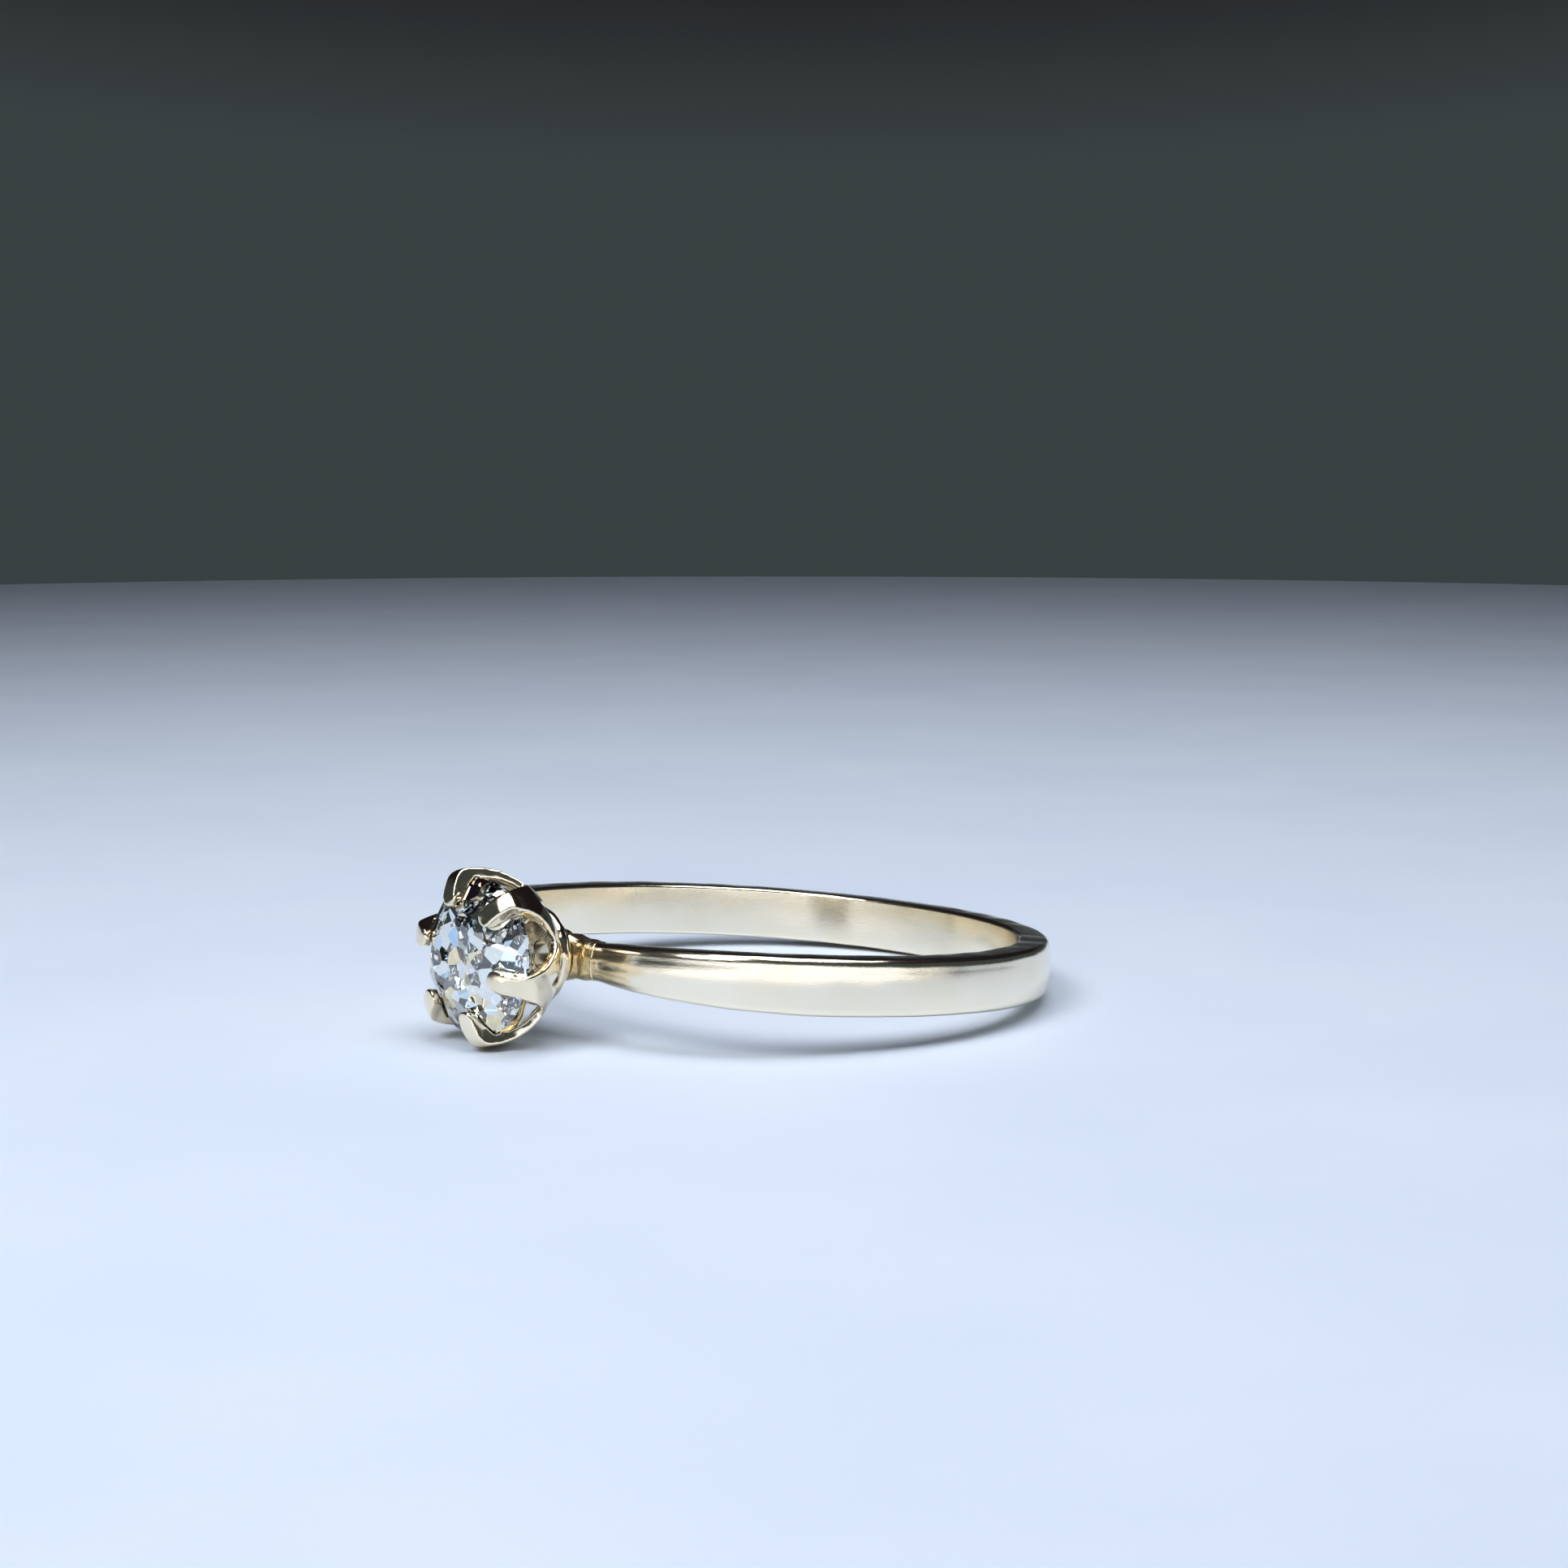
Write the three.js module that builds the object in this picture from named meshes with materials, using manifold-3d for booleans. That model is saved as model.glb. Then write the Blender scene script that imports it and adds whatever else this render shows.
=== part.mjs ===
// Six-claw solitaire engagement ring, lying on its side as it comes to rest on a table.
// Units are millimetres. Every piece is drawn in the ring's own frame first: Z runs out through
// the setting and the stone, X runs along the finger, and Y runs along the band. The origin of
// that frame is the centre of the finger bore. The last lines turn the ring onto its side.

import * as THREE from 'three';
import * as BufferGeometryUtils from 'three/addons/utils/BufferGeometryUtils.js';
import Module from 'manifold-3d';

const wasm = await Module();
wasm.setup();

// ---- driving dimensions ----------------------------------------------------------------

// band
const boreDiameter = 17.2;        // across the finger, side to side
const boreDrop = 0.8;             // how far the bore flattens under the setting
const boreDropAngle = 55;         // degrees either side of the setting over which it flattens
const bandWidth = 1.75;           // along the finger, over the back half
const bandThickness = 1.1;        // over the back half
const neckWidth = 1.15;           // where the band meets the setting
const neckThickness = 0.75;
const neckAngle = 14;             // degrees from the setting where the taper starts
const shoulderAngle = 64;         // degrees from the setting where the band has its full size
const cornerWidth = 0.26;         // rounding of the outer edges, along the finger
const cornerDepth = 0.17;         // rounding of the outer edges, through the band
const innerCorner = 0.12;         // rounding of the edges next to the finger
const domeHeight = 0.05;          // crown of the outer face

// base ring, the round collar that the setting stands on
const skirtDiameter = 1.5;        // part let in between the two ends of the band
const lipOverhang = 0.45;         // rounded lip that rests on the ends of the band, past the skirt
const lipHeight = 0.2;
const necking = 0.1;              // height of the groove above the lip
const colletBore = 0.9;           // hole through the base ring, below the stone
const skirtSetBack = 0.12;        // foot of the base ring stands clear of the finger by this
const grooveDepth = 0.11;         // of the groove between the lip and the rim above it
const lipRounding = 0.02;         // by which the edges of the lip and the rim are drawn in

// crown collet, the cup that carries the six claws
const clawCount = 6;
const headTurn = 18;              // degrees by which the first claw is turned from the finger line
const rimDiameter = 3.1;          // rounded rim at the foot of the collet
const cupFullness = 2.2;          // 1 is a straight cone, and more makes a rounder cup
const rimHeight = 0.28;
const rimLedge = 0.07;            // the cup starts this far in from the edge of the rim
const colletHeight = 2.0;         // from the top of the rim to the stone's girdle
const wallThickness = 0.42;       // of the cup, measured along a radius
const clawStandOff = 0.33;        // metal outside the girdle of the stone
const clawTipReach = 0.8;         // how far each claw reaches in over the crown
const clawTipWidth = 0.6;
const clawBendStart = 0.22;       // from the girdle up to where a claw starts to bend inwards
const clawBendHeight = 0.36;      // height over which it bends
const clawBendReach = 0.55;       // how far out from its tip the bend ends
const clawWaistWidth = 0.96;      // width of a claw at the girdle
const waistBottom = 0.25;         // the claw keeps that width from here below the girdle
const waistTop = 0.35;            // to here above it, where the tip has its own width
const notchBulge = 0.35;          // fullness of the hollow edge between a notch and a claw
const clawOverlap = 0.05;         // half of the overlap of two claws below the notch
const clawCover = 0.27;           // thickness of a claw over the crown of the stone
const notchDepth = 1.32;          // from the girdle down to the foot of each notch
const windowHeight = 1.1;         // pierced triangle in the wall below each claw
const windowWidth = 1.06;
const windowSill = 0.02;          // metal left between the rim and the foot of the triangle

// stone, a round old-cut diamond
const stoneDiameter = 4.8;
const tableRatio = 0.5;
const crownAngle = 36;
const starAngle = 21;
const upperHalfAngle = 41;
const pavilionAngle = 41;
const lowerHalfAngle = 42.4;
const girdleThickness = 0.09;
const culetRatio = 0.06;

// joints between the pieces
const clearance = 0.03;           // left open between two pieces that touch
const solderFilm = 0.1;           // between the base ring and each end of the band
const seamThickness = 0.06;       // solder disc between the base ring and the collet
const filletReach = 1.1;          // length of the solder along the band
const filletRise = 0.17;          // height of the solder above the band, at the base ring
const solderSkin = 0.015;         // thickness that the solder runs out to
const beadRise = 0.07;            // low bead at the far end of the fillet
const beadPlace = 0.62;           // share of the fillet's length at which the bead is highest
const beadSpread = 0.5;           // share of the fillet's length that the bead covers
const filletShare = 0.625;        // share of the fillet's length over which its hollow slope runs
const socketLap = 0.25;           // the solder starts this far inside the skirt, before it is cut

// facets of the round pieces
const roundSteps = 60;
const cupSteps = 7;
const bandSteps = 120;
const solderSteps = 14;

// ---- sizes that follow from them -------------------------------------------------------

const rad = THREE.MathUtils.degToRad;
const boreRadius = boreDiameter / 2;
const skirtRadius = skirtDiameter / 2;
const lipRadius = skirtRadius + lipOverhang;
const rimRadius = rimDiameter / 2;
const stoneRadius = stoneDiameter / 2;
const clawAngle = 360 / clawCount;

const endAngle = Math.asin((skirtRadius + solderFilm) / (boreRadius - boreDrop));
const lipBottom = bandOuterRadius(endAngle) * Math.cos(endAngle) + clearance;
const skirtBottom = boreRadius - boreDrop + skirtSetBack;
const lipTop = lipBottom + lipHeight;
const baseTop = lipTop + necking / 2;
const rimBottom = baseTop + seamThickness + 2 * clearance;
const rimTop = rimBottom + rimHeight;
const girdleHeight = rimTop + colletHeight;
const grooveRadius = Math.min(lipRadius, rimRadius) - grooveDepth;
const girdleTop = girdleHeight + girdleThickness / 2;
const girdleBottom = girdleHeight - girdleThickness / 2;
const tableRadius = stoneRadius * tableRatio;
const tableHeight = girdleTop + (stoneRadius - tableRadius) * Math.tan(rad(crownAngle));
const culetRadius = stoneRadius * culetRatio;
const culetHeight = girdleBottom - (stoneRadius - culetRadius) * Math.tan(rad(pavilionAngle));
const clawRadius = stoneRadius + clawStandOff;
const tipRadius = stoneRadius - clawTipReach;

// ---- band shape ------------------------------------------------------------------------

function ease(s) {
  const t = THREE.MathUtils.clamp(s, 0, 1);
  return t * (2 - t);
}

function offSetting(angle) {
  return Math.abs(THREE.MathUtils.euclideanModulo(angle + Math.PI, 2 * Math.PI) - Math.PI);
}

function boreRadiusAt(angle) {
  const share = Math.min(offSetting(angle) / rad(boreDropAngle), 1);
  return boreRadius - boreDrop * Math.cos(share * Math.PI / 2) ** 2;
}

function bandShare(angle) {
  return ease((offSetting(angle) - rad(neckAngle)) / rad(shoulderAngle - neckAngle));
}

function bandWidthAt(angle) {
  return THREE.MathUtils.lerp(neckWidth, bandWidth, bandShare(angle));
}

function bandThicknessAt(angle) {
  return THREE.MathUtils.lerp(neckThickness, bandThickness, bandShare(angle));
}

function bandOuterRadius(angle) {
  return boreRadiusAt(angle) + bandThicknessAt(angle);
}

// Outline of the band cut across: [along the finger, out from the bore]. It can be grown on its
// sides and outer face, and on its face next to the finger.
function bandSection(width, thickness, grow, innerGrow) {
  const side = width / 2 + grow;
  const inner = -innerGrow;
  const outer = thickness + grow;
  const round = Math.min(cornerWidth, width * 0.3);
  const points = [];
  for (const turn of [0, 30, 60, 90]) {
    const c = Math.cos(rad(turn));
    const s = Math.sin(rad(turn));
    points.push([side - round + round * c, outer - domeHeight - cornerDepth * (1 - s)]);
  }
  points.push([0, outer]);
  for (const turn of [90, 45, 0]) {
    const c = Math.cos(rad(turn));
    const s = Math.sin(rad(turn));
    points.push([side - innerCorner + innerCorner * c, inner + innerCorner * (1 - s)]);
  }
  const right = points.slice(0, 4);
  const foot = points.slice(5);
  const mirror = ([x, r]) => [-x, r];
  return [...right, points[4], ...right.map(mirror).reverse(), ...foot.map(mirror).reverse(), ...foot];
}

// Solid swept round the finger from one angle to another, closed on itself when it goes full turn.
function bandLoft(from, to, steps, growAt, innerGrow) {
  const loop = to - from > 2 * Math.PI - 1e-6;
  const rings = [];
  for (let i = 0; i < (loop ? steps : steps + 1); i += 1) {
    const angle = from + (to - from) * i / steps;
    const width = bandWidthAt(angle);
    const outline = bandSection(width, bandThicknessAt(angle), growAt(angle), innerGrow);
    rings.push(outline.map(([x, r]) => {
      const radius = boreRadiusAt(angle) + r;
      return [x, radius * Math.sin(angle), radius * Math.cos(angle)];
    }));
  }
  return loftGeometry(rings, loop);
}

function loftGeometry(rings, loop) {
  const count = rings[0].length;
  const index = [];
  const last = loop ? rings.length : rings.length - 1;
  for (let i = 0; i < last; i += 1) {
    const a = i * count;
    const b = ((i + 1) % rings.length) * count;
    for (let j = 0; j < count; j += 1) {
      const k = (j + 1) % count;
      index.push(a + j, b + j, b + k, a + j, b + k, a + k);
    }
  }
  if (!loop) {
    const end = last * count;
    for (let j = 1; j < count - 1; j += 1) {
      index.push(0, j, j + 1);
      index.push(end, end + j + 1, end + j);
    }
  }
  const geometry = new THREE.BufferGeometry();
  geometry.setAttribute('position', new THREE.Float32BufferAttribute(rings.flat(2), 3));
  geometry.setIndex(index);
  return geometry;
}

// ---- solids ----------------------------------------------------------------------------

function toSolid(geometry) {
  const bare = geometry.clone();
  bare.deleteAttribute('normal');
  bare.deleteAttribute('uv');
  const merged = BufferGeometryUtils.mergeVertices(bare, 1e-5);
  const solid = new wasm.Manifold(new wasm.Mesh({
    numProp: 3,
    vertProperties: Float32Array.from(merged.attributes.position.array),
    triVerts: Uint32Array.from(merged.index.array),
  }));
  return solid;
}

function toGeometry(solid) {
  const mesh = solid.getMesh();
  const geometry = new THREE.BufferGeometry();
  geometry.setAttribute('position', new THREE.BufferAttribute(mesh.vertProperties, 3));
  geometry.setIndex(new THREE.BufferAttribute(mesh.triVerts, 1));
  return geometry;
}

// Solid of revolution about Z through closed [radius, height] points.
function turned(points, steps = roundSteps) {
  const loop = [...points, points[0]].map(([r, h]) => new THREE.Vector2(r, h));
  const lathe = new THREE.LatheGeometry(loop, steps);
  lathe.rotateX(Math.PI / 2);
  return toSolid(lathe);
}

function disc(radius, bottom, top) {
  return turned([[0, bottom], [radius, bottom], [radius, top], [0, top]]);
}

function joined(solids) {
  return solids.reduce((sum, solid) => sum.add(solid));
}

// ---- stone -----------------------------------------------------------------------------

// The stone is a round blank with its facets ground away one plane at a time. A grown copy of
// it cuts the seat in the claws.
function facetRow(blank, count, firstAngle, tilt, radius, height, grow) {
  let stone = blank;
  for (let i = 0; i < count; i += 1) {
    const turn = rad(firstAngle + i * 360 / count);
    const up = Math.sign(tilt) * Math.cos(rad(tilt));
    const out = Math.sin(Math.abs(rad(tilt)));
    const normal = [-out * Math.cos(turn), -out * Math.sin(turn), -up];
    stone = stone.trimByPlane(normal, -(out * radius + up * height + grow));
  }
  return stone;
}

function stoneSolid(grow) {
  const halfStep = 360 / 32;
  let stone = disc(stoneRadius + grow, culetHeight - grow, tableHeight + grow);
  stone = facetRow(stone, 8, 0, crownAngle, stoneRadius, girdleTop, grow);
  stone = facetRow(stone, 8, 22.5, starAngle, tableRadius * Math.cos(rad(22.5)), tableHeight, grow);
  stone = facetRow(stone, 16, halfStep, upperHalfAngle, stoneRadius, girdleTop, grow);
  stone = facetRow(stone, 8, 0, -pavilionAngle, stoneRadius, girdleBottom, grow);
  stone = facetRow(stone, 16, halfStep, -lowerHalfAngle, stoneRadius, girdleBottom, grow);
  return stone;
}

// ---- crown collet ----------------------------------------------------------------------

const cupFoot = rimRadius - rimLedge;

// Outside of the cup: it swells fast above the rim and stands nearly upright at the girdle.
function cupRadius(height) {
  const share = (height - rimTop) / (girdleHeight - rimTop);
  return THREE.MathUtils.lerp(cupFoot, clawRadius, 1 - (1 - share) ** cupFullness);
}

function cupHeights() {
  return Array.from({ length: cupSteps + 1 }, (_, i) => (
    THREE.MathUtils.lerp(rimTop, girdleHeight, i / cupSteps)));
}

// Cup wall with its rounded rim, carried up and in over the crown of the stone all round.
function colletWall() {
  const crownSlope = Math.tan(rad(crownAngle));
  const tipTop = girdleTop + (stoneRadius - tipRadius) * crownSlope + clawCover;
  const shoulder = girdleHeight + clawBendStart;
  const bend = new THREE.CubicBezierCurve(
    new THREE.Vector2(clawRadius, shoulder),
    new THREE.Vector2(clawRadius, shoulder + clawBendHeight),
    new THREE.Vector2(tipRadius + clawBendReach, tipTop),
    new THREE.Vector2(tipRadius, tipTop),
  );
  const rimMiddle = (rimBottom + rimTop) / 2;
  const outside = [
    [grooveRadius, rimBottom],
    [rimRadius - lipRounding, rimMiddle - rimHeight / 4],
    [rimRadius, rimMiddle],
    [rimRadius - lipRounding, rimMiddle + rimHeight / 4],
    ...cupHeights().map((height) => [cupRadius(height), height]),
    ...bend.getPoints(6).map((p) => [p.x, p.y]),
  ];
  const inside = [
    [tipRadius, girdleHeight],
    ...cupHeights().reverse().map((height) => [cupRadius(height) - wallThickness, height]),
    [cupFoot - wallThickness, rimBottom],
  ];
  return turned([...outside, ...inside]);
}

// A claw seen from outside: wide at the foot, where it meets its neighbours, and narrow on top.
function clawOutline() {
  const notchFoot = girdleHeight - notchDepth;
  const meet = cupRadius(notchFoot) * Math.tan(rad(clawAngle / 2)) + clawOverlap;
  const waist = clawWaistWidth / 2;
  const top = tableHeight + 1;
  const widest = waist + notchBulge;
  const outline = new THREE.Shape();
  outline.moveTo(-meet, rimBottom);
  outline.lineTo(meet, rimBottom);
  outline.lineTo(meet, notchFoot);
  outline.quadraticCurveTo(widest, notchFoot + notchBulge, waist, girdleHeight - waistBottom);
  outline.lineTo(clawTipWidth / 2, girdleHeight + waistTop);
  outline.lineTo(clawTipWidth / 2, top);
  outline.lineTo(-clawTipWidth / 2, top);
  outline.lineTo(-clawTipWidth / 2, girdleHeight + waistTop);
  outline.lineTo(-waist, girdleHeight - waistBottom);
  outline.quadraticCurveTo(-widest, notchFoot + notchBulge, -meet, notchFoot);
  outline.closePath();
  return outline;
}

// Extrudes an upright outline out along a radius at a given turn about Z.
function radialPrism(outline, degrees) {
  const geometry = new THREE.ExtrudeGeometry(outline, {
    depth: clawRadius + 1,
    bevelEnabled: false,
    curveSegments: 6,
  });
  geometry.rotateX(Math.PI / 2);
  geometry.rotateZ(rad(degrees) + Math.PI / 2);
  return toSolid(geometry);
}

function windowOutline() {
  const outline = new THREE.Shape();
  outline.moveTo(-windowWidth / 2, rimTop + windowSill);
  outline.lineTo(windowWidth / 2, rimTop + windowSill);
  outline.lineTo(0, rimTop + windowHeight);
  outline.closePath();
  return outline;
}

// Plan of a claw tip, rounded at the end that points to the middle of the stone.
function tipPrism(degrees) {
  const half = clawTipWidth / 2;
  const outline = new THREE.Shape();
  outline.moveTo(clawRadius + 0.5, -clawWaistWidth / 2);
  outline.lineTo(clawRadius + 0.5, clawWaistWidth / 2);
  outline.lineTo(stoneRadius, clawWaistWidth / 2);
  outline.lineTo(tipRadius + half, half);
  outline.absarc(tipRadius + half, 0, half, Math.PI / 2, 3 * Math.PI / 2);
  outline.lineTo(stoneRadius, -clawWaistWidth / 2);
  outline.closePath();
  const geometry = new THREE.ExtrudeGeometry(outline, {
    depth: tableHeight + 2 - girdleHeight,
    bevelEnabled: false,
    curveSegments: 8,
  });
  geometry.translate(0, 0, girdleHeight);
  geometry.rotateZ(rad(degrees));
  return toSolid(geometry);
}

function colletSolid() {
  const turns = Array.from({ length: clawCount }, (_, i) => headTurn + i * clawAngle);
  const claws = joined(turns.map((turn) => radialPrism(clawOutline(), turn)));
  const tips = joined(turns.map((turn) => tipPrism(turn)));
  const below = disc(clawRadius + 1, rimBottom - 1, girdleHeight + 0.01);
  const windows = joined(turns.map((turn) => radialPrism(windowOutline(), turn)));
  return colletWall()
    .intersect(claws)
    .intersect(below.add(tips))
    .subtract(windows)
    .subtract(stoneSolid(clearance));
}

// ---- base ring and solder --------------------------------------------------------------

function baseRingSolid() {
  const bore = colletBore / 2;
  const middle = (lipBottom + lipTop) / 2;
  return turned([
    [bore, skirtBottom],
    [skirtRadius, skirtBottom],
    [skirtRadius, lipBottom],
    [lipRadius - lipRounding, middle - lipHeight / 3],
    [lipRadius, middle],
    [lipRadius - lipRounding, middle + lipHeight / 3],
    [grooveRadius, lipTop],
    [grooveRadius, baseTop],
    [bore, baseTop],
  ]);
}

function seamSolid() {
  const bottom = baseTop + clearance;
  const top = rimBottom - clearance;
  const middle = (bottom + top) / 2;
  return turned([
    [colletBore / 2, bottom],
    [grooveRadius, bottom],
    [grooveRadius + lipRounding, middle],
    [grooveRadius, top],
    [colletBore / 2, top],
  ]);
}

// The band with its round gap for the base ring. A grown copy cuts the solder to fit it.
function shankSolid(grow) {
  const loop = toSolid(bandLoft(0, 2 * Math.PI, bandSteps, () => grow, grow));
  return loop.subtract(disc(skirtRadius + solderFilm - grow, 0, lipTop + 1));
}

// Height of the solder above the band: a hollow fillet off the base ring, then a low bead. It is
// filed flush next to the finger.
function solderRise(angle) {
  const along = boreRadiusAt(angle) * Math.sin(offSetting(angle)) - skirtRadius;
  const share = THREE.MathUtils.clamp(along / filletReach, 0, 1);
  const fillet = filletRise * (1 - ease(share / filletShare));
  const bead = beadRise * Math.max(0, Math.cos((share - beadPlace) * Math.PI / beadSpread));
  return clearance + solderSkin + fillet + bead;
}

function shoulderSolder(side) {
  const inner = Math.asin((skirtRadius - socketLap) / boreRadius);
  const outer = Math.asin((skirtRadius + filletReach) / (boreRadius - boreDrop));
  const from = side > 0 ? inner : -outer;
  const to = side > 0 ? outer : -inner;
  const collar = toSolid(bandLoft(from, to, solderSteps, solderRise, 0));
  const socket = turned([
    [0, skirtBottom - 1],
    [skirtRadius + clearance, skirtBottom - 1],
    [skirtRadius + clearance, lipBottom - clearance],
    [lipRadius + clearance, lipBottom - clearance],
    [lipRadius + clearance, lipTop + 1],
    [0, lipTop + 1],
  ]);
  return collar.subtract(shankSolid(clearance)).subtract(socket);
}

// ---- materials and assembly ------------------------------------------------------------

const whiteGold = new THREE.MeshStandardMaterial({ color: 0xd9d3bf, roughness: 0.22, metalness: 1 });
const solderGold = new THREE.MeshStandardMaterial({ color: 0xd2bb86, roughness: 0.3, metalness: 1 });
const diamond = new THREE.MeshStandardMaterial({ color: 0xf3f7fb, roughness: 0.02, metalness: 0 });

function piece(name, solid, material) {
  const mesh = new THREE.Mesh(toGeometry(solid), material);
  mesh.name = name;
  return mesh;
}

const ring = new THREE.Group();
ring.add(
  piece('shank', shankSolid(0), whiteGold),
  piece('base_ring', baseRingSolid(), whiteGold),
  piece('crown_collet', colletSolid(), whiteGold),
  piece('diamond', stoneSolid(0), diamond),
  piece('collet_solder', seamSolid(), solderGold),
  piece('shoulder_solder_left', shoulderSolder(1), solderGold),
  piece('shoulder_solder_right', shoulderSolder(-1), solderGold),
);

// Finds how far the ring tips when it lies on its lowest claw and the back of the band: as long
// as the lowest point is on the setting's side, the setting has to come up further.
function restingTilt() {
  const point = new THREE.Vector3();
  let low = 0;
  let high = rad(20);
  for (let i = 0; i < 30; i += 1) {
    const tilt = (low + high) / 2;
    let lowest = Infinity;
    let onSetting = false;
    for (const mesh of ring.children) {
      const position = mesh.geometry.attributes.position;
      for (let j = 0; j < position.count; j += 1) {
        point.fromBufferAttribute(position, j);
        const height = point.x * Math.cos(tilt) + point.z * Math.sin(tilt);
        if (height < lowest) {
          lowest = height;
          onSetting = point.z > 0;
        }
      }
    }
    if (onSetting) low = tilt;
    else high = tilt;
  }
  return (low + high) / 2;
}

ring.rotation.y = restingTilt() - Math.PI / 2;
ring.updateMatrixWorld(true);

const box = new THREE.Box3().setFromObject(ring, true);
const centre = box.getCenter(new THREE.Vector3());
ring.position.set(-centre.x, -centre.y, -box.min.z);

const model = new THREE.Group();
model.add(ring);

export default model;
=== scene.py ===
# Six-claw solitaire engagement ring in pale white gold, lying on its side on a pale table.
# The ring's own axes are used to make every piece: X along the finger, Y along the band, Z out
# through the setting and the stone, in millimetres, from the centre of the finger bore.
import math

import bmesh
import bpy
from mathutils import Matrix, Vector, noise


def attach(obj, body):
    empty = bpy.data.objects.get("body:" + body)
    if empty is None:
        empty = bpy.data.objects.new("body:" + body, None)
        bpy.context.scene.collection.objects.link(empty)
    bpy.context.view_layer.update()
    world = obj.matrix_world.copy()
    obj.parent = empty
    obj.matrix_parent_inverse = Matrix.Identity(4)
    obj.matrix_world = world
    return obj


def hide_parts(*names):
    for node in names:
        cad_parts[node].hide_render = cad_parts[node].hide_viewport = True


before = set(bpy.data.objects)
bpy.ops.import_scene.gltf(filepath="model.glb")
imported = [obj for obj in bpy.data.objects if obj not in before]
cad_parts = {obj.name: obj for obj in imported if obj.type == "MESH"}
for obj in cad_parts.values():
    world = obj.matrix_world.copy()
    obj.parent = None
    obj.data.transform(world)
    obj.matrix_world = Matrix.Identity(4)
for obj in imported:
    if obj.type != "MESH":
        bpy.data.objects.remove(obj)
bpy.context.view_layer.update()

# ---- How the ring lies --------------------------------------------------------------------
# The ring has come to rest on its side, on one claw and on the back of the band, so its axes
# are a little tilted. They are found from the pieces themselves: the base ring and the stone
# share one axis, and the band's outside is round about the finger.

MM = 0.001


def corners_of(node):
    """Each corner of a CAD node once, in metres."""
    return [Vector(c) for c in {tuple(v.co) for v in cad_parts[node].data.vertices}]


def middle_of(points):
    return sum(points, Vector()) / len(points)


base_middle = middle_of(corners_of("base_ring"))
outward = (middle_of(corners_of("diamond")) - base_middle).normalized()
across = Vector((0, 1, 0))
finger = across.cross(outward).normalized()
band_corners = corners_of("shank")
outer_radius = max(c.y for c in band_corners)
back_of_band = min(c.dot(outward) for c in band_corners)
bore_centre = base_middle + outward * (back_of_band + outer_radius - base_middle.dot(outward))
ring_axes = Matrix((finger, across, outward)).transposed().to_4x4()
ring_to_table = Matrix.Translation(bore_centre) @ ring_axes @ Matrix.Scale(MM, 4)
table_to_ring = ring_to_table.inverted()


def reach_of(node):
    """Lowest and highest place of a CAD node along the setting, and its largest radius."""
    points = [table_to_ring @ c for c in corners_of(node)]
    heights = [p.z for p in points]
    return min(heights), max(heights), max(math.hypot(p.x, p.y) for p in points)


# ---- Camera -------------------------------------------------------------------------------
# A close-up from low down, with the stone turned half towards the lens.

camera_place = Vector((-61.30, -68.28, 17.31))   # from the centre of the bore, in millimetres
camera_azimuth = math.radians(-42.52)
camera_elevation = math.radians(7.47)
camera_data = bpy.data.cameras.new("camera")
camera_data.lens = 65.2
camera_data.sensor_width = 36
camera_data.clip_start = MM
camera_data.clip_end = 10
camera = bpy.data.objects.new("camera", camera_data)
camera.location = bore_centre + camera_place * MM
camera.rotation_euler = (math.pi / 2 - camera_elevation, 0, camera_azimuth)
bpy.context.scene.collection.objects.link(camera)
bpy.context.scene.camera = camera

# ---- Table top and light ------------------------------------------------------------------
# A plain, pale, faintly blue matt table top with a soft cloudy tone. A lamp stands to the left, a
# wide soft sheet hangs overhead, a low pale screen closes the near side, and the room is dim.

table_radius = 0.24


def new_material(name):
    material = bpy.data.materials.new(name)
    material.use_nodes = True
    nodes = material.node_tree.nodes
    return material, nodes, material.node_tree.links, nodes["Principled BSDF"]


def mottle(nodes, links, per_mm, detail, stretch=(1, 1, 1)):
    """Noise with a given number of grains to the millimetre, stretched along the axes."""
    place = nodes.new("ShaderNodeTexCoord")
    scaled = nodes.new("ShaderNodeMapping")
    scaled.inputs["Scale"].default_value = [s / MM for s in stretch]
    grain = nodes.new("ShaderNodeTexNoise")
    grain.inputs["Scale"].default_value = per_mm
    grain.inputs["Detail"].default_value = detail
    links.new(place.outputs["Object"], scaled.inputs["Vector"])
    links.new(scaled.outputs["Vector"], grain.inputs["Vector"])
    return grain.outputs["Fac"]


def shades(nodes, links, source, stops):
    """Colour ramp of (place, colour) stops driven by a grey value."""
    ramp = nodes.new("ShaderNodeValToRGB")
    while len(ramp.color_ramp.elements) < len(stops):
        ramp.color_ramp.elements.new(0.5)
    for element, (place, colour) in zip(ramp.color_ramp.elements, stops):
        element.position = place
        element.color = (*colour, 1)
    links.new(source, ramp.inputs["Fac"])
    return ramp.outputs["Color"]


def relief(nodes, links, source, depth, under=None):
    """Fine relief of a given depth in metres, over any relief that is there already."""
    bump = nodes.new("ShaderNodeBump")
    bump.inputs["Strength"].default_value = 1
    bump.inputs["Distance"].default_value = depth
    links.new(source, bump.inputs["Height"])
    if under:
        links.new(under, bump.inputs["Normal"])
    return bump.outputs["Normal"]


table_mesh = bpy.data.meshes.new("table_top")
table_shape = bmesh.new()
bmesh.ops.create_circle(table_shape, cap_ends=True, segments=128, radius=table_radius)
table_shape.to_mesh(table_mesh)
table_shape.free()
table_top = bpy.data.objects.new("table_top", table_mesh)
bpy.context.scene.collection.objects.link(table_top)

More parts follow.
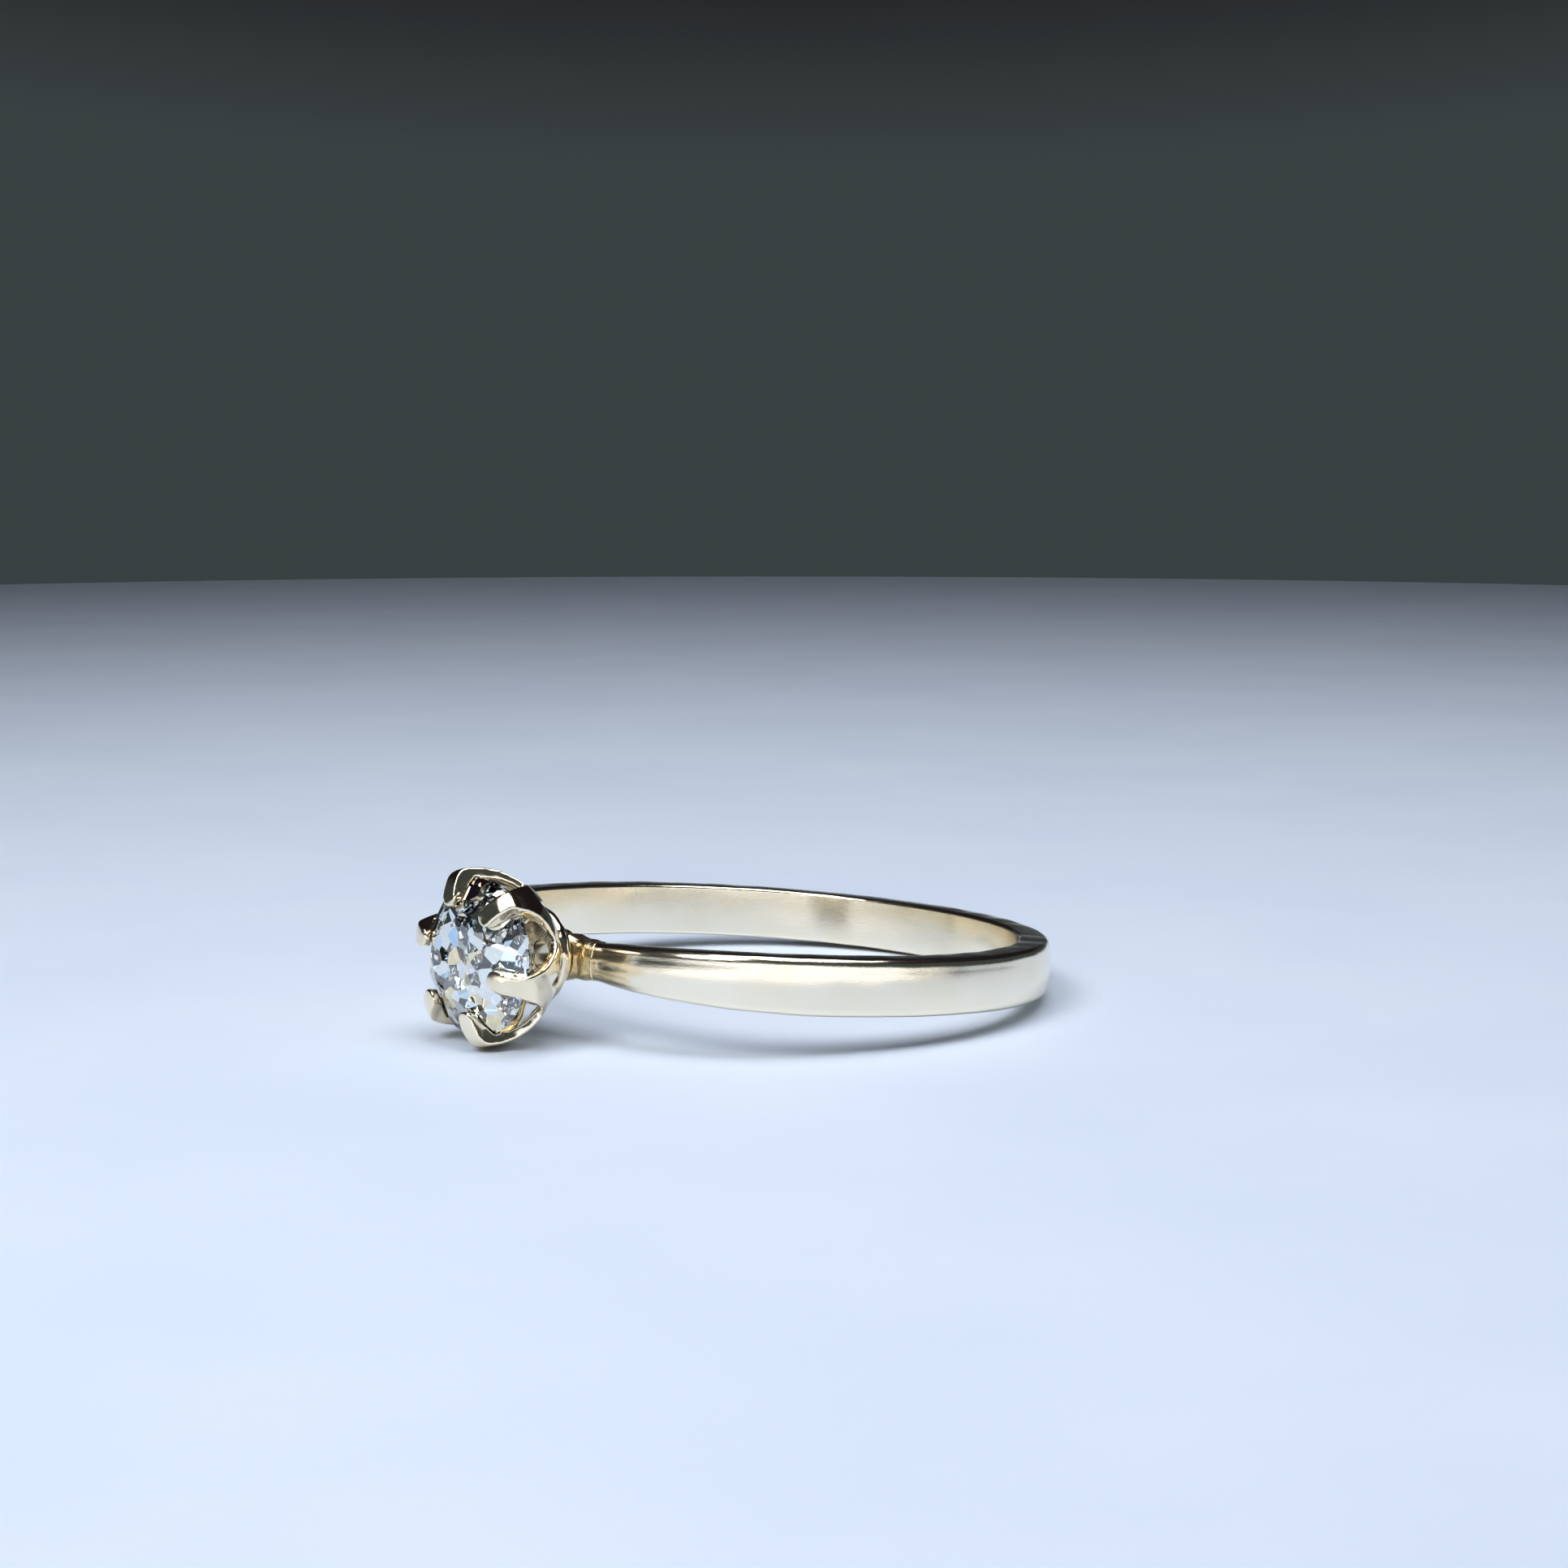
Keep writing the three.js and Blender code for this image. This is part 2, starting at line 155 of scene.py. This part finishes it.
matt_white, nodes, links, shader = new_material("matt_white")
cloudy = mottle(nodes, links, 0.08, 3)
links.new(shades(nodes, links, cloudy, [(0.3, (0.69, 0.79, 0.96)), (0.7, (0.73, 0.83, 0.99))]),
          shader.inputs["Base Color"])
shader.inputs["Roughness"].default_value = 0.6
shader.inputs["Specular IOR Level"].default_value = 0.2
table_mesh.materials.append(matt_white)


def soft_light(name, place, size, power, spread, colour):
    """Round soft lamp that faces the ring. Its place is in metres from the ring, and its grid
    keeps the light within a cone of so many degrees."""
    data = bpy.data.lights.new(name, "AREA")
    data.shape = "DISK"
    data.size = size
    data.energy = power
    data.spread = math.radians(spread)
    data.color = colour
    lamp = bpy.data.objects.new(name, data)
    lamp.location = place
    lamp.rotation_euler = Vector(place).to_track_quat("Z", "Y").to_euler()
    bpy.context.scene.collection.objects.link(lamp)
    return lamp


soft_light("lamp", (-0.15, -0.02, 0.17), size=0.11, power=0.074, spread=90,
           colour=(1, 0.98, 0.95))
soft_light("overhead_sheet", (0.0, -0.05, 0.26), size=0.25, power=0.130, spread=80,
           colour=(0.97, 0.98, 1))

screen_side = (-0.68, -0.73, -2.4)     # towards the near side, and fading upwards
room_limits = (-2.4, 0.6)              # from straight up to low on the near side
room_brightness = 1.45
ceiling = (0.007, 0.005, 0.007)
far_wall = (0.029, 0.036, 0.037)
near_screen = (0.90, 0.93, 1.0)
room = bpy.data.worlds.new("dim_room")
room.use_nodes = True
nodes, links = room.node_tree.nodes, room.node_tree.links
towards = nodes.new("ShaderNodeTexCoord")
nearness = nodes.new("ShaderNodeVectorMath")
nearness.operation = "DOT_PRODUCT"
nearness.inputs[1].default_value = screen_side
links.new(towards.outputs["Generated"], nearness.inputs[0])
room_share = nodes.new("ShaderNodeMapRange")
room_share.inputs["From Min"].default_value = room_limits[0]
room_share.inputs["From Max"].default_value = room_limits[1]
links.new(nearness.outputs["Value"], room_share.inputs["Value"])
screen = shades(nodes, links, room_share.outputs["Result"],
                [(0.34, ceiling), (0.40, far_wall), (0.80, far_wall), (0.91, near_screen)])
links.new(screen, nodes["Background"].inputs["Color"])
nodes["Background"].inputs["Strength"].default_value = room_brightness
bpy.context.scene.world = room
bpy.context.scene.view_settings.view_transform = "Standard"

# ---- Shank --------------------------------------------------------------------------------
# The band: 14 carat white gold, rolled and bent to a C, filed thinner and narrower towards the
# setting, with its two ends cut hollow to fit round the base ring. Polished by hand, so its
# faces are very slightly wavy and covered in fine scratches that run along the band.

band_thickness = 1.1
band_width = 1.75
neck_thickness = 0.75
neck_width = 1.15
bore_radius = outer_radius / MM - band_thickness
bore_drop = 0.8
bore_drop_angle = math.radians(55)
neck_angle = math.radians(14)
shoulder_angle = math.radians(64)
corner_width = 0.31
corner_depth = 0.20
inner_corner = 0.12
dome_height = 0.05
corner_limit = 0.3
band_steps = 720
corner_steps = 8
face_steps = 6
solder_film = 0.1
lip_overhang = 0.45
base_bottom, base_top, lip_radius = reach_of("base_ring")
skirt_radius = lip_radius - lip_overhang


def mix(low, high, share):
    return low + (high - low) * share


def ease(share):
    kept = min(max(share, 0), 1)
    return kept * (2 - kept)


def off_setting(angle):
    """Angle from the middle of the setting, either way round."""
    return abs((angle + math.pi) % (2 * math.pi) - math.pi)


def bore_radius_at(angle):
    share = min(off_setting(angle) / bore_drop_angle, 1)
    return bore_radius - bore_drop * math.cos(share * math.pi / 2) ** 2


def band_share(angle):
    return ease((off_setting(angle) - neck_angle) / (shoulder_angle - neck_angle))


def band_outline(angle, grow=0, inner_grow=0):
    """The band cut across, as (along the finger, out from the bore) points in order."""
    width = mix(neck_width, band_width, band_share(angle))
    thickness = mix(neck_thickness, band_thickness, band_share(angle))
    side = width / 2 + grow
    outer = thickness + grow
    corner = min(corner_width, width * corner_limit)
    half = []
    for i in range(face_steps):
        share = i / face_steps
        half.append(((side - corner) * share, outer - dome_height * share ** 2))
    for i in range(corner_steps + 1):
        turn = math.pi / 2 * i / corner_steps
        half.append((side - corner + corner * math.sin(turn),
                     outer - dome_height - corner_depth * (1 - math.cos(turn))))
    for i in range(corner_steps + 1):
        turn = math.pi / 2 * i / corner_steps
        half.append((side - inner_corner + inner_corner * math.cos(turn),
                     inner_corner * (1 - math.sin(turn)) - inner_grow))
    half.append((0, -inner_grow))
    return half + [(-x, r) for x, r in half[-2:0:-1]]


def swept(first, last, steps, outline_at):
    """Rings of points swept round the finger, from one angle to another."""
    rings = []
    for i in range(steps):
        angle = first + (last - first) * i / steps
        rings.append([(x, (bore_radius_at(angle) + r) * math.sin(angle),
                       (bore_radius_at(angle) + r) * math.cos(angle))
                      for x, r in outline_at(angle)])
    return rings


def skinned(name, rings, closed):
    """Object skinned over rings of points, closed on itself or capped at both ends."""
    count = len(rings[0])
    points = [p for ring in rings for p in ring]
    faces = []
    for i in range(len(rings) if closed else len(rings) - 1):
        a = i * count
        b = (i + 1) % len(rings) * count
        for j in range(count):
            k = (j + 1) % count
            faces.append((a + j, b + j, b + k, a + k))
    if not closed:
        faces.append(tuple(range(count)))
        faces.append(tuple(range(len(points) - 1, len(points) - 1 - count, -1)))
    mesh = bpy.data.meshes.new(name)
    mesh.from_pydata(points, [], faces)
    return facing_out(linked(name, mesh))


def linked(name, mesh):
    piece = bpy.data.objects.new(name, mesh)
    bpy.context.scene.collection.objects.link(piece)
    return piece


def facing_out(piece):
    shape = bmesh.new()
    shape.from_mesh(piece.data)
    bmesh.ops.recalc_face_normals(shape, faces=shape.faces)
    if shape.calc_volume(signed=True) < 0:
        bmesh.ops.reverse_faces(shape, faces=shape.faces)
    shape.to_mesh(piece.data)
    shape.free()
    return piece


def lathed(name, profile, steps):
    """Object turned about the setting's axis from a closed (radius, height) profile."""
    rings = []
    for i in range(steps):
        turn = 2 * math.pi * i / steps
        rings.append([(r * math.cos(turn), r * math.sin(turn), h) for r, h in profile])
    return skinned(name, rings, True)


def disc(name, radius, bottom, top, steps=96):
    """Plain round slug that other pieces are cut with."""
    ring = [(radius * math.cos(2 * math.pi * i / steps), radius * math.sin(2 * math.pi * i / steps))
            for i in range(steps)]
    return skinned(name, [[(x, y, h) for x, y in ring] for h in (bottom, top)], False)


def settled(piece):
    """Applies the modifiers of a piece to its mesh."""
    graph = bpy.context.evaluated_depsgraph_get()
    mesh = bpy.data.meshes.new_from_object(piece.evaluated_get(graph))
    piece.modifiers.clear()
    piece.data = mesh
    return piece


def combined(piece, tool, operation):
    """Cuts, joins or meets a piece with a tool, which is used up."""
    change = piece.modifiers.new("change", "BOOLEAN")
    change.operation = operation
    change.solver = "MANIFOLD"
    change.object = tool
    settled(piece)
    bpy.data.objects.remove(tool)
    return piece


def hand_finished(piece, depth, grains):
    """Moves the skin in and out by a few hundredths, as filing and buffing leave it."""
    vertices = piece.data.vertices
    directions = [v.normal.copy() for v in vertices]
    for v, direction in zip(vertices, directions):
        v.co += direction * depth * noise.noise(v.co * grains)
    return piece


def finished(piece, sharp_angle, material):
    """Smooths the shading up to an angle, lays the piece where the ring lies and gives it its
    metal."""
    piece.data.materials.clear()
    piece.data.materials.append(material)
    piece.data.transform(ring_to_table)
    piece.data.polygons.foreach_set("use_smooth", [True] * len(piece.data.polygons))
    piece.data.set_sharp_from_angle(angle=math.radians(sharp_angle))
    return piece


def gold(name, colours, roughness, scratch_stretch, scratch_depth, crevice_shade):
    """Pale gold alloy: uneven colour, fine scratches that follow the work, soft pitting, and painted
    shade: the colour turns to a brown tint in crevices and corners, where little light reaches."""
    material, nodes, links, shader = new_material(name)
    cloudy = mottle(nodes, links, 0.55, 4)
    colour = shades(nodes, links, cloudy, [(0.32, colours[0]), (0.68, colours[1])])
    # Painted shade: ambient occlusion mixes the colour towards a brown tint in crevices and corners,
    # where shade falls.
    corner = nodes.new("ShaderNodeAmbientOcclusion")
    corner.inputs["Distance"].default_value = 0.35 * MM
    corner.samples = 8
    painted_shade_share = shades(nodes, links, corner.outputs["AO"], [(0.15, (1, 1, 1)), (0.6, (0, 0, 0))])
    painted_shade_mix = nodes.new("ShaderNodeMix")
    painted_shade_mix.data_type = "RGBA"
    painted_shade_mix.inputs["B"].default_value = (*crevice_shade, 1)
    links.new(painted_shade_share, painted_shade_mix.inputs["Factor"])
    links.new(colour, painted_shade_mix.inputs["A"])
    links.new(painted_shade_mix.outputs["Result"], shader.inputs["Base Color"])
    scratches = mottle(nodes, links, 9, 3, scratch_stretch)
    rubbed = nodes.new("ShaderNodeMapRange")
    rubbed.inputs["To Min"].default_value = roughness[0]
    rubbed.inputs["To Max"].default_value = roughness[1]
    links.new(scratches, rubbed.inputs["Value"])
    links.new(rubbed.outputs["Result"], shader.inputs["Roughness"])
    pits = relief(nodes, links, mottle(nodes, links, 6, 2), scratch_depth * 0.6)
    lines = relief(nodes, links, scratches, scratch_depth, pits)
    links.new(lines, shader.inputs["Normal"])
    shader.inputs["Metallic"].default_value = 1
    return material


shank = skinned("white_gold_shank", swept(0, 2 * math.pi, band_steps, band_outline), True)
combined(shank, disc("socket", skirt_radius + solder_film, 0, 20), "DIFFERENCE")
hand_finished(shank, 0.018, 0.9)
# The last colour given is the brown tint of the painted shade in crevices.
band_gold = gold("white_gold_band", colours=[(0.95, 0.85, 0.66), (0.97, 0.89, 0.73)],
                 roughness=(0.07, 0.24), scratch_stretch=(1, 0.16, 5), scratch_depth=2.0e-6,
                 crevice_shade=(0.42, 0.30, 0.16))
finished(shank, 40, band_gold)
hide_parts("shank")
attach(shank, "root")

# ---- Base ring ----------------------------------------------------------------------------
# A turned collar of the same gold. Its skirt is let in between the ends of the band and its
# rounded lip rests on them.

lip_height = 0.2
lip_rounding = 0.09
base_bore = 0.45
groove_depth = 0.11
necking = 0.05                       # height of the groove above the lip
turned_steps = 192


def rounded_lip(radius, bottom, top, inset, steps=10):
    """Half-round lip as (radius, height) points from its foot to its top."""
    half = (top - bottom) / 2
    return [(radius - inset + inset * math.cos(turn), bottom + half + half * math.sin(turn))
            for turn in (math.pi * (i / steps - 0.5) for i in range(steps + 1))]


groove_radius = lip_radius - groove_depth
lip_top = base_top - necking
lip = rounded_lip(lip_radius, lip_top - lip_height, lip_top, lip_rounding)
base_ring = lathed("turned_base_ring", [(base_bore, base_bottom), (skirt_radius, base_bottom),
                                        (skirt_radius, lip_top - lip_height), *lip,
                                        (groove_radius, lip_top), (groove_radius, base_top),
                                        (base_bore, base_top)], turned_steps)
hand_finished(base_ring, 0.012, 1.6)
# The last colour given is the brown tint of the painted shade in crevices.
turned_gold = gold("white_gold_turned", colours=[(0.92, 0.80, 0.58), (0.96, 0.87, 0.68)],
                   roughness=(0.12, 0.26), scratch_stretch=(2, 2, 0.5), scratch_depth=1.6e-6,
                   crevice_shade=(0.34, 0.22, 0.10))
finished(base_ring, 50, turned_gold)
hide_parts("base_ring")
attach(base_ring, "root")

# ---- Solder between the base ring and the setting -----------------------------------------
# A thin ring of yellower gold solder, drawn into the groove between the two turned pieces.

seam_bottom, seam_top, seam_radius = reach_of("collet_solder")
seam_bulge = 0.05
seam = lathed("collet_solder_seam",
              [(base_bore, seam_bottom), (groove_radius, seam_bottom),
               *rounded_lip(seam_radius + seam_bulge, seam_bottom, seam_top, seam_bulge, 6),
               (base_bore, seam_top)], turned_steps)
hand_finished(seam, 0.03, 2.4)
# The last colour given is the brown tint of the painted shade in crevices.
solder_gold = gold("gold_solder", colours=[(0.93, 0.79, 0.50), (0.98, 0.88, 0.63)],
                   roughness=(0.16, 0.34), scratch_stretch=(1, 1, 1), scratch_depth=2.5e-6,
                   crevice_shade=(0.55, 0.38, 0.17))
finished(seam, 60, solder_gold)
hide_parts("collet_solder")
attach(seam, "root")

# ---- Crown collet -------------------------------------------------------------------------
# The cast white gold cup that holds the stone: a rounded rim, a pierced triangle under each
# of its six claws, deep notches between them, and claws pushed in over the stone's crown.

rim_bottom, claw_top, claw_radius = reach_of("crown_collet")
culet_height, table_height, stone_radius = reach_of("diamond")
claw_count = 6
claw_turn = math.radians(18)
claw_step = 2 * math.pi / claw_count
rim_height = 0.28
rim_radius = 1.55
cup_fullness = 2.2
cup_steps = 24
rim_rounding = 0.07
cup_foot = rim_radius - rim_rounding
rim_top = rim_bottom + rim_height
cup_height = 2.0
girdle_height = rim_top + cup_height
wall_thickness = 0.42
filed_thickness = 0.29
seat_sharpness = 6
claw_tip_reach = 0.8
claw_tip_width = 0.6
claw_waist_width = 0.96
claw_side_steps = 14
claw_overlap = 0.05
waist_bottom = 0.2
waist_top = 0.35
waist_flare = 0.12
flare_bottom = 0.6
notch_bulge = 0.35
notch_depth = 1.32
window_height = 1.1
window_width = 1.06
window_sill = 0.02
tip_radius = stone_radius - claw_tip_reach
stone_gap = 0.03
soft_edge = 0.03
same_corner = 1e-3
flat_facet = math.radians(0.5)


def cup_radius(height):
    """Outside of the cup, which swells fast above the rim and is nearly upright at the girdle."""
    share = (height - rim_top) / (girdle_height - rim_top)
    return mix(cup_foot, claw_radius, 1 - (1 - share) ** cup_fullness)


def cup_wall(rim_inset, girdle_inset):
    """The cup's face from the rim up. Its inside is filed thin below the seat of the stone."""
    shares = [i / cup_steps for i in range(cup_steps + 1)]
    heights = [mix(rim_top, girdle_height, share) for share in shares]
    return [(cup_radius(height) - mix(rim_inset, girdle_inset, share ** seat_sharpness), height)
            for share, height in zip(shares, heights)]


def bezier(points, steps):
    """Points along a cubic curve with four control points."""
    p, q, r, s = [Vector(point) for point in points]
    return [tuple(p * (1 - t) ** 3 + q * 3 * t * (1 - t) ** 2 + r * 3 * t * t * (1 - t) + s * t ** 3)
            for t in (i / steps for i in range(steps + 1))]


def prism(name, outline, low, high, turn, upright):
    """Outline pushed through from low to high. An upright one faces out along a radius."""
    spin = Matrix.Rotation(turn, 3, "Z")
    rings = []
    for depth in (low, high):
        if upright:
            rings.append([spin @ Vector((depth, u, h)) for u, h in outline])
        else:
            rings.append([spin @ Vector((u, v, depth)) for u, v in outline])
    return skinned(name, rings, False)


def claw_face():
    """A claw seen from outside: broad at the foot, narrow over the stone."""
    foot = girdle_height - notch_depth
    meet = cup_radius(foot) * math.tan(claw_step / 2) + claw_overlap
    waist = claw_waist_width / 2
    side = bezier([(meet, foot), (waist + notch_bulge, foot + notch_bulge),
                   (waist + waist_flare, girdle_height - flare_bottom),
                   (waist, girdle_height - waist_bottom)], claw_side_steps)
    side += [(claw_tip_width / 2, girdle_height + waist_top),
             (claw_tip_width / 2, table_height + 1)]
    right = [(meet, rim_bottom - 0.5), *side]
    return right + [(-u, h) for u, h in reversed(right)]


def claw_plan():
    """A claw seen from above, with its round tip towards the middle of the stone."""
    half = claw_tip_width / 2
    waist = claw_waist_width / 2
    tip = [(tip_radius + half - half * math.sin(turn), half * math.cos(turn))
           for turn in (math.pi * i / 16 for i in range(17))]
    return [(claw_radius + 0.5, -waist), (claw_radius + 0.5, waist), (stone_radius, waist),
            *tip, (stone_radius, -waist)]


def stone_shape(name):
    """The stone's flat facets, skinned over its corners."""
    shape = bmesh.new()
    for corner in corners_of("diamond"):
        shape.verts.new(table_to_ring @ corner)
    bmesh.ops.remove_doubles(shape, verts=shape.verts, dist=same_corner)
    bmesh.ops.convex_hull(shape, input=shape.verts)
    bmesh.ops.dissolve_limit(shape, angle_limit=flat_facet, verts=shape.verts, edges=shape.edges)
    mesh = bpy.data.meshes.new(name)
    shape.to_mesh(mesh)
    shape.free()
    return mesh


bend_start = 0.22
bend_height = 0.36
bend_reach = 0.55
bend_steps = 16
shoulder = girdle_height + bend_start
collet_profile = [
    (groove_radius, rim_bottom),
    *rounded_lip(rim_radius, rim_bottom, rim_top, rim_rounding),
    *cup_wall(0, 0),
    *bezier([(claw_radius, shoulder), (claw_radius, shoulder + bend_height),
             (tip_radius + bend_reach, claw_top), (tip_radius, claw_top)], bend_steps),
    (tip_radius, girdle_height),
    *reversed(cup_wall(filed_thickness, wall_thickness)),
    (cup_foot - filed_thickness, rim_bottom),
]
collet = lathed("crown_collet_claws", collet_profile, turned_steps)
turns = [claw_turn + i * claw_step for i in range(claw_count)]
claws = prism("claws", claw_face(), 0, claw_radius + 1, turns[0], True)
tips = disc("below_girdle", claw_radius + 1, rim_bottom - 1, girdle_height + 0.01)
for turn in turns:
    combined(tips, prism("tip", claw_plan(), girdle_height, table_height + 2, turn, False), "UNION")
for turn in turns[1:]:
    combined(claws, prism("claw", claw_face(), 0, claw_radius + 1, turn, True), "UNION")
combined(collet, claws, "INTERSECT")
combined(collet, tips, "INTERSECT")
for turn in turns:
    window = [(-window_width / 2, rim_top + window_sill),
              (window_width / 2, rim_top + window_sill), (0, rim_top + window_height)]
    combined(collet, prism("window", window, 0, claw_radius + 1, turn, True), "DIFFERENCE")
stone_mesh = stone_shape("stone_seat")
stone_middle = (culet_height + table_height) / 2
swell = 1 + stone_gap / stone_radius
stone_mesh.transform(Matrix.Translation((0, 0, stone_middle)) @ Matrix.Scale(swell, 4)
                     @ Matrix.Translation((0, 0, -stone_middle)))
stone_tool = linked("stone_tool", stone_mesh)
combined(collet, stone_tool, "DIFFERENCE")
cast = collet.modifiers.new("cast", "REMESH")
cast.mode = "VOXEL"
cast.voxel_size = soft_edge
rounding = collet.modifiers.new("rounding", "SMOOTH")
rounding.factor = 0.5
rounding.iterations = 22
settled(collet)
hand_finished(collet, 0.02, 1.3)
hand_finished(collet, 0.014, 3.4)
# The last colour given is the brown tint of the painted shade in crevices.
cast_gold = gold("white_gold_cast", colours=[(0.93, 0.80, 0.58), (0.97, 0.88, 0.70)],
                 roughness=(0.07, 0.2), scratch_stretch=(1, 1, 1), scratch_depth=2.2e-6,
                 crevice_shade=(0.40, 0.24, 0.08))
finished(collet, 80, cast_gold)
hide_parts("crown_collet")
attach(collet, "root")

# ---- Diamond ------------------------------------------------------------------------------
# A round old-cut diamond: small table, open culet and a ground girdle. It is held by the claws
# alone. Light is broken up inside it. Here each small shard that shows tilts the surface its own way
# and carries a faint painted tint of blue, white, yellow and orange that stands in for that split
# light, since the stone itself is colourless. Half of the shards shine like mirrors.

shards_per_mm = 2.7
shard_tilt = 0.6
shard_lean = (0.5, 0.5, 0.8)     # 0.5 leans neither way, and more leans down
refraction = 2.42
diamond = facing_out(linked("old_cut_diamond", stone_shape("old_cut_diamond")))
diamond.data.transform(ring_to_table)
clear_stone, nodes, links, shader = new_material("clear_diamond")
shader.inputs["IOR"].default_value = refraction
shader.inputs["Transmission Weight"].default_value = 1
facet = nodes.new("ShaderNodeNewGeometry")
place = nodes.new("ShaderNodeTexCoord")
shards = nodes.new("ShaderNodeTexVoronoi")
shards.inputs["Scale"].default_value = shards_per_mm / MM
links.new(place.outputs["Object"], shards.inputs["Vector"])
centred = nodes.new("ShaderNodeVectorMath")
centred.operation = "SUBTRACT"
centred.inputs[1].default_value = shard_lean
links.new(shards.outputs["Color"], centred.inputs[0])
tilted = nodes.new("ShaderNodeVectorMath")
tilted.operation = "MULTIPLY_ADD"
tilted.inputs[1].default_value = (shard_tilt, shard_tilt, shard_tilt)
links.new(centred.outputs["Vector"], tilted.inputs[0])
links.new(facet.outputs["True Normal"], tilted.inputs[2])
unit = nodes.new("ShaderNodeVectorMath")
unit.operation = "NORMALIZE"
links.new(tilted.outputs["Vector"], unit.inputs[0])
links.new(unit.outputs["Vector"], shader.inputs["Normal"])
# Painted fire: faint blue, yellow and orange tints on the colourless stone stand in for light split
# into colours.
painted_fire = nodes.new("ShaderNodeTexWhiteNoise")
links.new(shards.outputs["Color"], painted_fire.inputs["Vector"])
links.new(shades(nodes, links, painted_fire.outputs["Value"],
                 [(0.0, (0.55, 0.78, 1.0)), (0.18, (0.93, 1, 0.97)), (0.45, (1, 1, 1)),
                  (0.8, (0.97, 1, 0.95)), (0.92, (1.0, 0.90, 0.60)), (1.0, (1.0, 0.72, 0.50))]),
          shader.inputs["Base Color"])
glint = nodes.new("ShaderNodeTexWhiteNoise")
glint.noise_dimensions = "4D"
links.new(shards.outputs["Color"], glint.inputs["Vector"])
links.new(shades(nodes, links, glint.outputs["Value"], [(0.4, (0, 0, 0)), (0.5, (0.8, 0.8, 0.8))]),
          shader.inputs["Metallic"])
polish = nodes.new("ShaderNodeMapRange")
polish.inputs["To Min"].default_value = 0
polish.inputs["To Max"].default_value = 0.02
links.new(mottle(nodes, links, 3, 2), polish.inputs["Value"])
links.new(polish.outputs["Result"], shader.inputs["Roughness"])
diamond.data.materials.append(clear_stone)
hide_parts("diamond")
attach(diamond, "root")

# ---- Solder at the shoulders --------------------------------------------------------------
# Yellower gold solder run in between the base ring and each end of the band: a hollow fillet
# that ends in a low bead, filed flush inside the bore.

fillet_reach = 1.0
fillet_rise = 0.12
bead_rise = 0.035
solder_skin = 0.015
bead_place = 0.62
bead_spread = 0.5
fillet_steepness = 1.6
socket_lap = 0.25
solder_voxel = 0.02
solder_steps = 60


def solder_rise(angle):
    along = bore_radius_at(angle) * math.sin(off_setting(angle)) - skirt_radius
    share = min(max(along / fillet_reach, 0), 1)
    bead = bead_rise * max(0, math.cos((share - bead_place) * math.pi / bead_spread))
    return solder_skin + fillet_rise * (1 - ease(share * fillet_steepness)) + bead


def solder_outline(angle):
    return band_outline(angle, solder_rise(angle), 0)


for side, node in ((1, "shoulder_solder_left"), (-1, "shoulder_solder_right")):
    inner = math.asin((skirt_radius - socket_lap) / bore_radius)
    outer = math.asin((skirt_radius + fillet_reach) / (bore_radius - bore_drop))
    first, last = (inner, outer) if side > 0 else (-outer, -inner)
    run = skinned(node + "_run", swept(first, last, solder_steps, solder_outline), False)
    core = skinned("core", swept(first - 0.1, last + 0.1, solder_steps,
                                 lambda angle: band_outline(angle, -0.01, 0.02)), False)
    combined(core, disc("socket", skirt_radius + solder_film, 0, 20), "DIFFERENCE")
    combined(run, core, "DIFFERENCE")
    combined(run, disc("skirt", skirt_radius, 0, lip_top - lip_height), "DIFFERENCE")
    combined(run, disc("lip", lip_radius - 0.02, lip_top - lip_height - 0.01, lip_top + 1),
             "DIFFERENCE")
    melt = run.modifiers.new("melt", "REMESH")
    melt.mode = "VOXEL"
    melt.voxel_size = solder_voxel
    flow = run.modifiers.new("flow", "SMOOTH")
    flow.factor = 0.5
    flow.iterations = 14
    settled(run)
    hand_finished(run, 0.03, 1.6)
    finished(run, 80, solder_gold)
    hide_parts(node)
    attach(run, "root")
